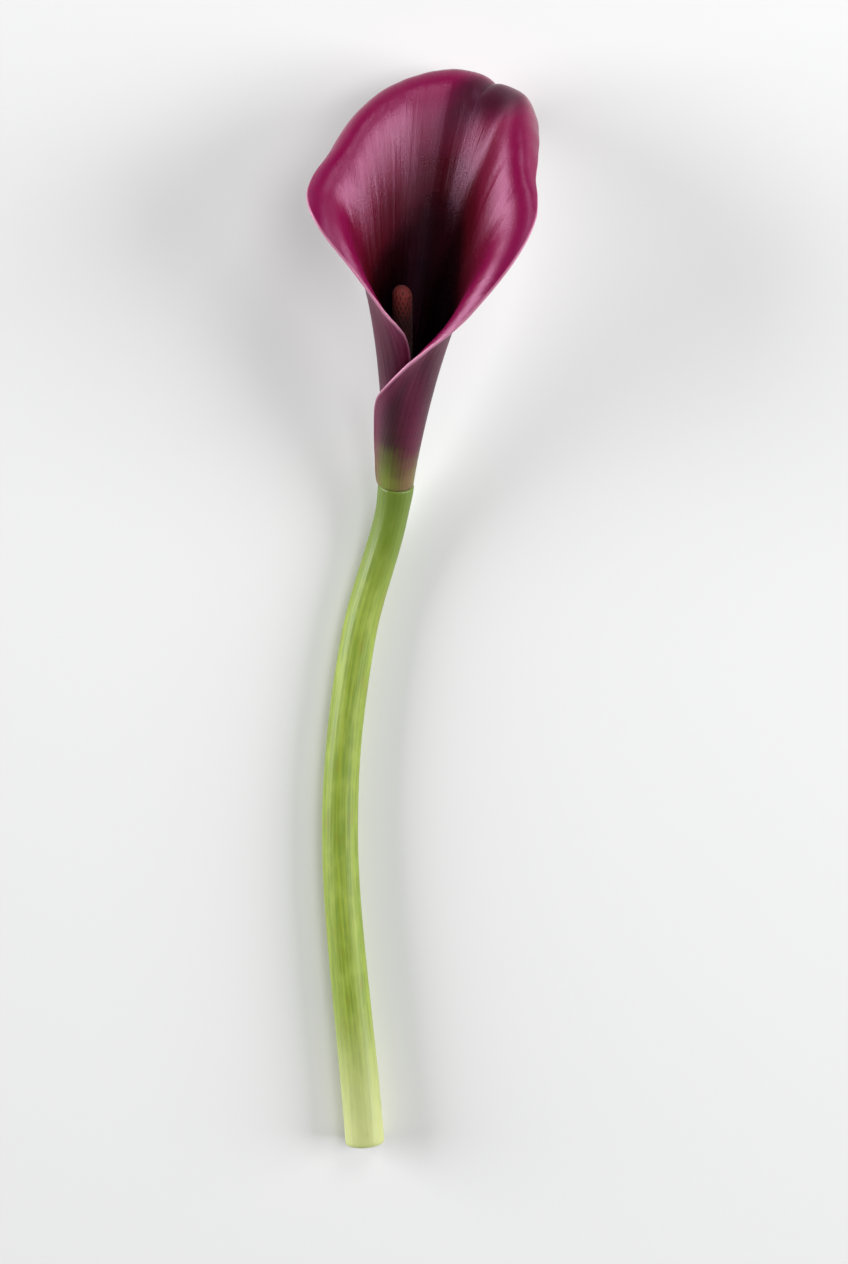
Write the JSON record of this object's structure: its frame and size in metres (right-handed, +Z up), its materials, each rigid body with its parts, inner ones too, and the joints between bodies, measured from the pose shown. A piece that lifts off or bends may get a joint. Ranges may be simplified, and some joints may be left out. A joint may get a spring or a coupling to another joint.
{
  "type": "calla lily flower",
  "caption": "Picked calla lily bloom lying on its back: a deep purple trumpet-shaped spathe rolled round a spadix, on a smooth green stem.",
  "frame": {"origin": "middle of the footprint of the flower as it lies, on the surface under it", "axes": "+Z up from the surface, +Y from the cut end of the stem to the head of the flower, +X to the right seen from above with the head away from the viewer"},
  "size_m": [0.0665, 0.3284, 0.051],
  "materials": {
    "stem_green": "smooth waxy yellow-green stalk with faint lengthwise streaks, olive green under the flower and pale at the cut end",
    "spathe_purple": "velvety deep purple with fine veins along the blade, magenta at the margins and near black down the throat",
    "spadix_brown": "matt reddish brown, grained with small florets"
  },
  "bodies": {
    "root": {"stem": "stem_green", "spathe": "spathe_purple", "spadix": "spadix_brown"}
  },
  "joints": []
}
